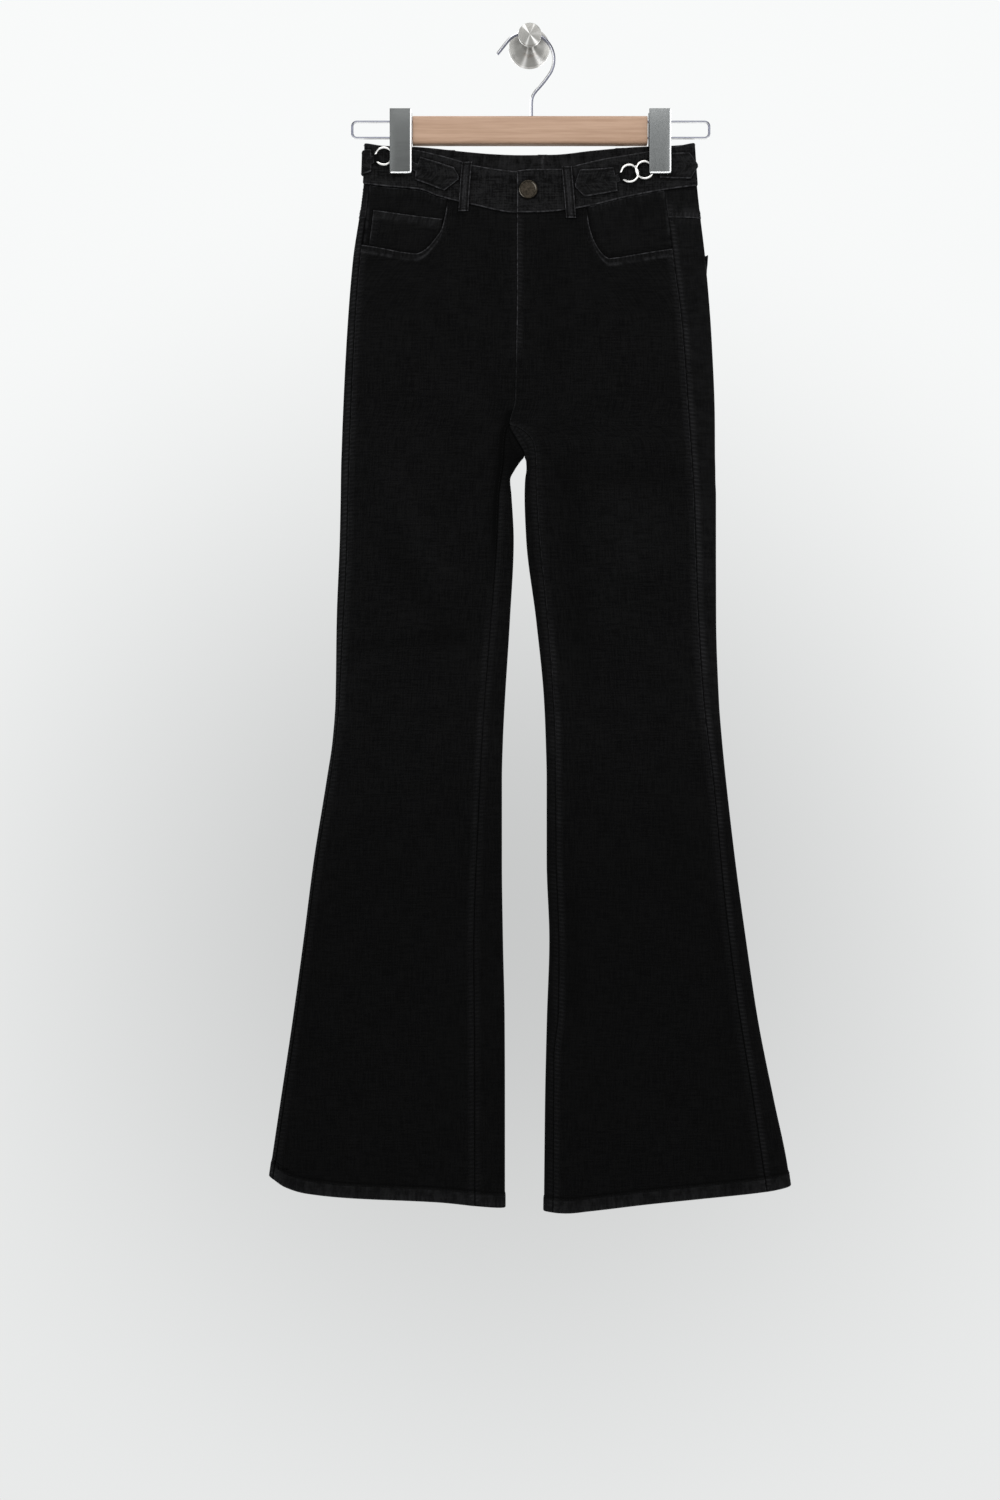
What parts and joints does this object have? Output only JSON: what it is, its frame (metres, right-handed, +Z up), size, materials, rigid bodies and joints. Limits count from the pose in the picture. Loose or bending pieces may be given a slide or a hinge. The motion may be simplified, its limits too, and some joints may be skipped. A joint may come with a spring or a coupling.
{
  "type": "flared jeans on a clip hanger and wall hook",
  "caption": "Long flared jeans with a high waist, scooped front pockets and side tabs joined by ring links, clipped to a wooden hanger that hangs from a round wall hook.",
  "frame": {"origin": "centre of the wall hook's flat back face, where it meets the wall", "axes": "+Z up, +Y into the wall, so the front of the jeans faces -Y; +X to the right seen from the front, which is the wearer's left"},
  "size_m": [0.5535, 0.05, 1.2633],
  "materials": {
    "denim": "near-black stretch denim twill, matt, worn grey along the seam edges",
    "zip_tape": "black woven tape",
    "brass": "dark antique brass, satin",
    "silver": "polished silver plate",
    "steel": "satin brushed steel",
    "beech": "pale beech with a satin lacquer"
  },
  "bodies": {
    "root": {"front_right": "denim", "back_right": "denim", "yoke_right": "denim", "waistband_right": "denim", "back_pocket_right": "denim", "pocket_facing_right": "denim", "link_right": "silver", "hanger_wire_right": "steel", "hanger_clip_right": "steel", "front_left": "denim", "back_left": "denim", "yoke_left": "denim", "waistband_left": "denim", "back_pocket_left": "denim", "pocket_facing_left": "denim", "link_left": "silver", "hanger_wire_left": "steel", "hanger_clip_left": "steel", "coin_pocket": "denim", "fly_shield": "denim", "belt_loop_front_right": "denim", "belt_loop_front_left": "denim", "belt_loop_back_right": "denim", "belt_loop_back_left": "denim", "belt_loop_back_middle": "denim", "tab_front_left": "denim", "tab_front_right": "denim", "tab_back_left": "denim", "tab_back_right": "denim", "fly_zip": "zip_tape", "waist_button": "brass", "hanger_bar": "beech", "hanger_hook": "steel", "wall_hook": "steel"}
  },
  "joints": []
}
